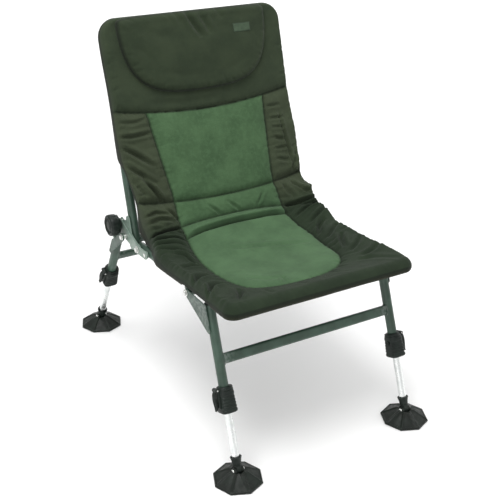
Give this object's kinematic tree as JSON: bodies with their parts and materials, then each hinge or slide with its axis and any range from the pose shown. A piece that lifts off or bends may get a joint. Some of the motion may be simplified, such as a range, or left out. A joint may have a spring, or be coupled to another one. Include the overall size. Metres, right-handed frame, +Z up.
{
  "type": "folding fishing chair",
  "caption": "Low reclining bankside chair: quilted seat and back on a folding tube frame, telescopic legs with cam clamps and swivelling mud feet.",
  "frame": {"origin": "on the ground, midway between the four feet (bottom centre of the chair's box)", "axes": "+Z up; the seat's front edge faces -Y; nodes named right are at +X; the chair is symmetric about x = 0"},
  "size_m": [0.578, 0.884, 0.8728],
  "materials": {
    "quilted_fabric": "quilted woven polyester in two olive shades",
    "pillow_fabric": "dark olive woven polyester",
    "green_steel": "satin powder coat, dark slate green",
    "bright_aluminium": "drawn tube, bright",
    "zinc_plate": "zinc plated",
    "black_plastic": "moulded glass filled nylon, fine grain"
  },
  "bodies": {
    "seat": {"seat_frame_tube": "green_steel", "seat_rear_cross_tube": "green_steel", "seat_pad": "quilted_fabric", "front_hinge_lug_left": "green_steel", "front_hinge_lug_right": "green_steel", "front_pivot_bolt_left": "zinc_plate", "front_pivot_bolt_right": "zinc_plate", "recliner_arm_left": "green_steel", "recliner_arm_right": "green_steel", "back_hinge_bolt_left": "zinc_plate", "back_hinge_bolt_right": "zinc_plate", "rear_pivot_bolt_left": "zinc_plate", "rear_pivot_bolt_right": "zinc_plate", "clamp_bolt_left": "zinc_plate", "clamp_bolt_right": "zinc_plate"},
    "back": {"back_frame_tube": "green_steel", "back_cross_tube": "green_steel", "back_bracket_left": "green_steel", "back_bracket_right": "green_steel", "back_pad": "quilted_fabric", "headrest_pillow": "pillow_fabric"},
    "left_hand_wheel": {"hand_wheel_left": "black_plastic"},
    "right_hand_wheel": {"hand_wheel_right": "black_plastic"},
    "front_legs": {"front_leg_tube_left": "green_steel", "front_leg_tube_right": "green_steel", "front_cross_bar": "green_steel", "front_gusset_left": "green_steel", "front_gusset_right": "green_steel", "front_leg_cap_left": "black_plastic", "front_leg_cap_right": "black_plastic", "front_clamp_body_left": "black_plastic", "front_clamp_body_right": "black_plastic"},
    "rear_legs": {"rear_leg_tube_left": "green_steel", "rear_leg_tube_right": "green_steel", "rear_cross_bar": "green_steel", "rear_gusset_left": "green_steel", "rear_gusset_right": "green_steel", "rear_clamp_body_left": "black_plastic", "rear_clamp_body_right": "black_plastic"},
    "front_left_inner_leg": {"front_inner_leg_left": "bright_aluminium", "front_leg_socket_left": "black_plastic", "foot_pin_front_left": "zinc_plate"},
    "front_left_foot": {"mud_foot_front_left": "black_plastic"},
    "front_left_lever": {"front_cam_lever_left": "black_plastic"},
    "front_right_inner_leg": {"front_inner_leg_right": "bright_aluminium", "front_leg_socket_right": "black_plastic", "foot_pin_front_right": "zinc_plate"},
    "front_right_foot": {"mud_foot_front_right": "black_plastic"},
    "front_right_lever": {"front_cam_lever_right": "black_plastic"},
    "rear_left_inner_leg": {"rear_inner_leg_left": "bright_aluminium", "rear_leg_socket_left": "black_plastic", "foot_pin_rear_left": "zinc_plate"},
    "rear_left_foot": {"mud_foot_rear_left": "black_plastic"},
    "rear_left_lever": {"rear_cam_lever_left": "black_plastic"},
    "rear_right_inner_leg": {"rear_inner_leg_right": "bright_aluminium", "rear_leg_socket_right": "black_plastic", "foot_pin_rear_right": "zinc_plate"},
    "rear_right_foot": {"mud_foot_rear_right": "black_plastic"},
    "rear_right_lever": {"rear_cam_lever_right": "black_plastic"}
  },
  "joints": [
    {"name": "back_recline", "type": "hinge", "parent": "seat", "child": "back", "pos_m": [0, 0.082, 0.36061], "axis": [1, 0, 0], "range_deg": [-6, 97]},
    {"name": "left_wheel_turn", "type": "hinge", "parent": "seat", "child": "left_hand_wheel", "pos_m": [-0.261, 0.18, 0.391], "axis": [1, 0, 0], "continuous": true},
    {"name": "right_wheel_turn", "type": "hinge", "parent": "seat", "child": "right_hand_wheel", "pos_m": [0.261, 0.18, 0.391], "axis": [1, 0, 0], "continuous": true},
    {"name": "front_legs_fold", "type": "hinge", "parent": "seat", "child": "front_legs", "pos_m": [0, -0.169, 0.363], "axis": [1, 0, 0], "range_deg": [0, 97]},
    {"name": "rear_legs_fold", "type": "hinge", "parent": "seat", "child": "rear_legs", "pos_m": [0, 0.146, 0.37], "axis": [1, 0, 0], "range_deg": [-97, 0]},
    {"name": "front_left_leg_slide", "type": "slide", "parent": "front_legs", "child": "front_left_inner_leg", "axis": [0.0094, 0.3611, 0.9325], "range_m": [-0.045, 0.085]},
    {"name": "front_right_leg_slide", "type": "slide", "parent": "front_legs", "child": "front_right_inner_leg", "axis": [-0.0094, 0.3611, 0.9325], "range_m": [-0.045, 0.085]},
    {"name": "rear_left_leg_slide", "type": "slide", "parent": "rear_legs", "child": "rear_left_inner_leg", "axis": [-0.0239, -0.4942, 0.869], "range_m": [-0.045, 0.085]},
    {"name": "rear_right_leg_slide", "type": "slide", "parent": "rear_legs", "child": "rear_right_inner_leg", "axis": [0.0239, -0.4942, 0.869], "range_m": [-0.045, 0.085]},
    {"name": "front_left_foot_swivel", "type": "hinge", "parent": "front_left_inner_leg", "child": "front_left_foot", "pos_m": [-0.23, -0.385, 0.024], "axis": [1, 0, 0], "range_deg": [-50, 14]},
    {"name": "front_right_foot_swivel", "type": "hinge", "parent": "front_right_inner_leg", "child": "front_right_foot", "pos_m": [0.23, -0.385, 0.024], "axis": [1, 0, 0], "range_deg": [-50, 14]},
    {"name": "rear_left_foot_swivel", "type": "hinge", "parent": "rear_left_inner_leg", "child": "rear_left_foot", "pos_m": [-0.232, 0.385, 0.024], "axis": [1, 0, 0], "range_deg": [-6, 58]},
    {"name": "rear_right_foot_swivel", "type": "hinge", "parent": "rear_right_inner_leg", "child": "rear_right_foot", "pos_m": [0.232, 0.385, 0.024], "axis": [1, 0, 0], "range_deg": [-6, 58]},
    {"name": "front_left_lever_open", "type": "hinge", "parent": "front_legs", "child": "front_left_lever", "pos_m": [-0.24824, -0.31774, 0.19767], "axis": [0, 0.9325, -0.3611], "range_deg": [0, 100]},
    {"name": "front_right_lever_open", "type": "hinge", "parent": "front_legs", "child": "front_right_lever", "pos_m": [0.24824, -0.31774, 0.19767], "axis": [0, -0.9325, 0.3611], "range_deg": [0, 100]},
    {"name": "rear_left_lever_open", "type": "hinge", "parent": "rear_legs", "child": "rear_left_lever", "pos_m": [-0.25739, 0.27362, 0.21986], "axis": [0, 0.8693, 0.4943], "range_deg": [0, 100]},
    {"name": "rear_right_lever_open", "type": "hinge", "parent": "rear_legs", "child": "rear_right_lever", "pos_m": [0.25739, 0.27362, 0.21986], "axis": [0, -0.8693, -0.4943], "range_deg": [0, 100]}
  ]
}
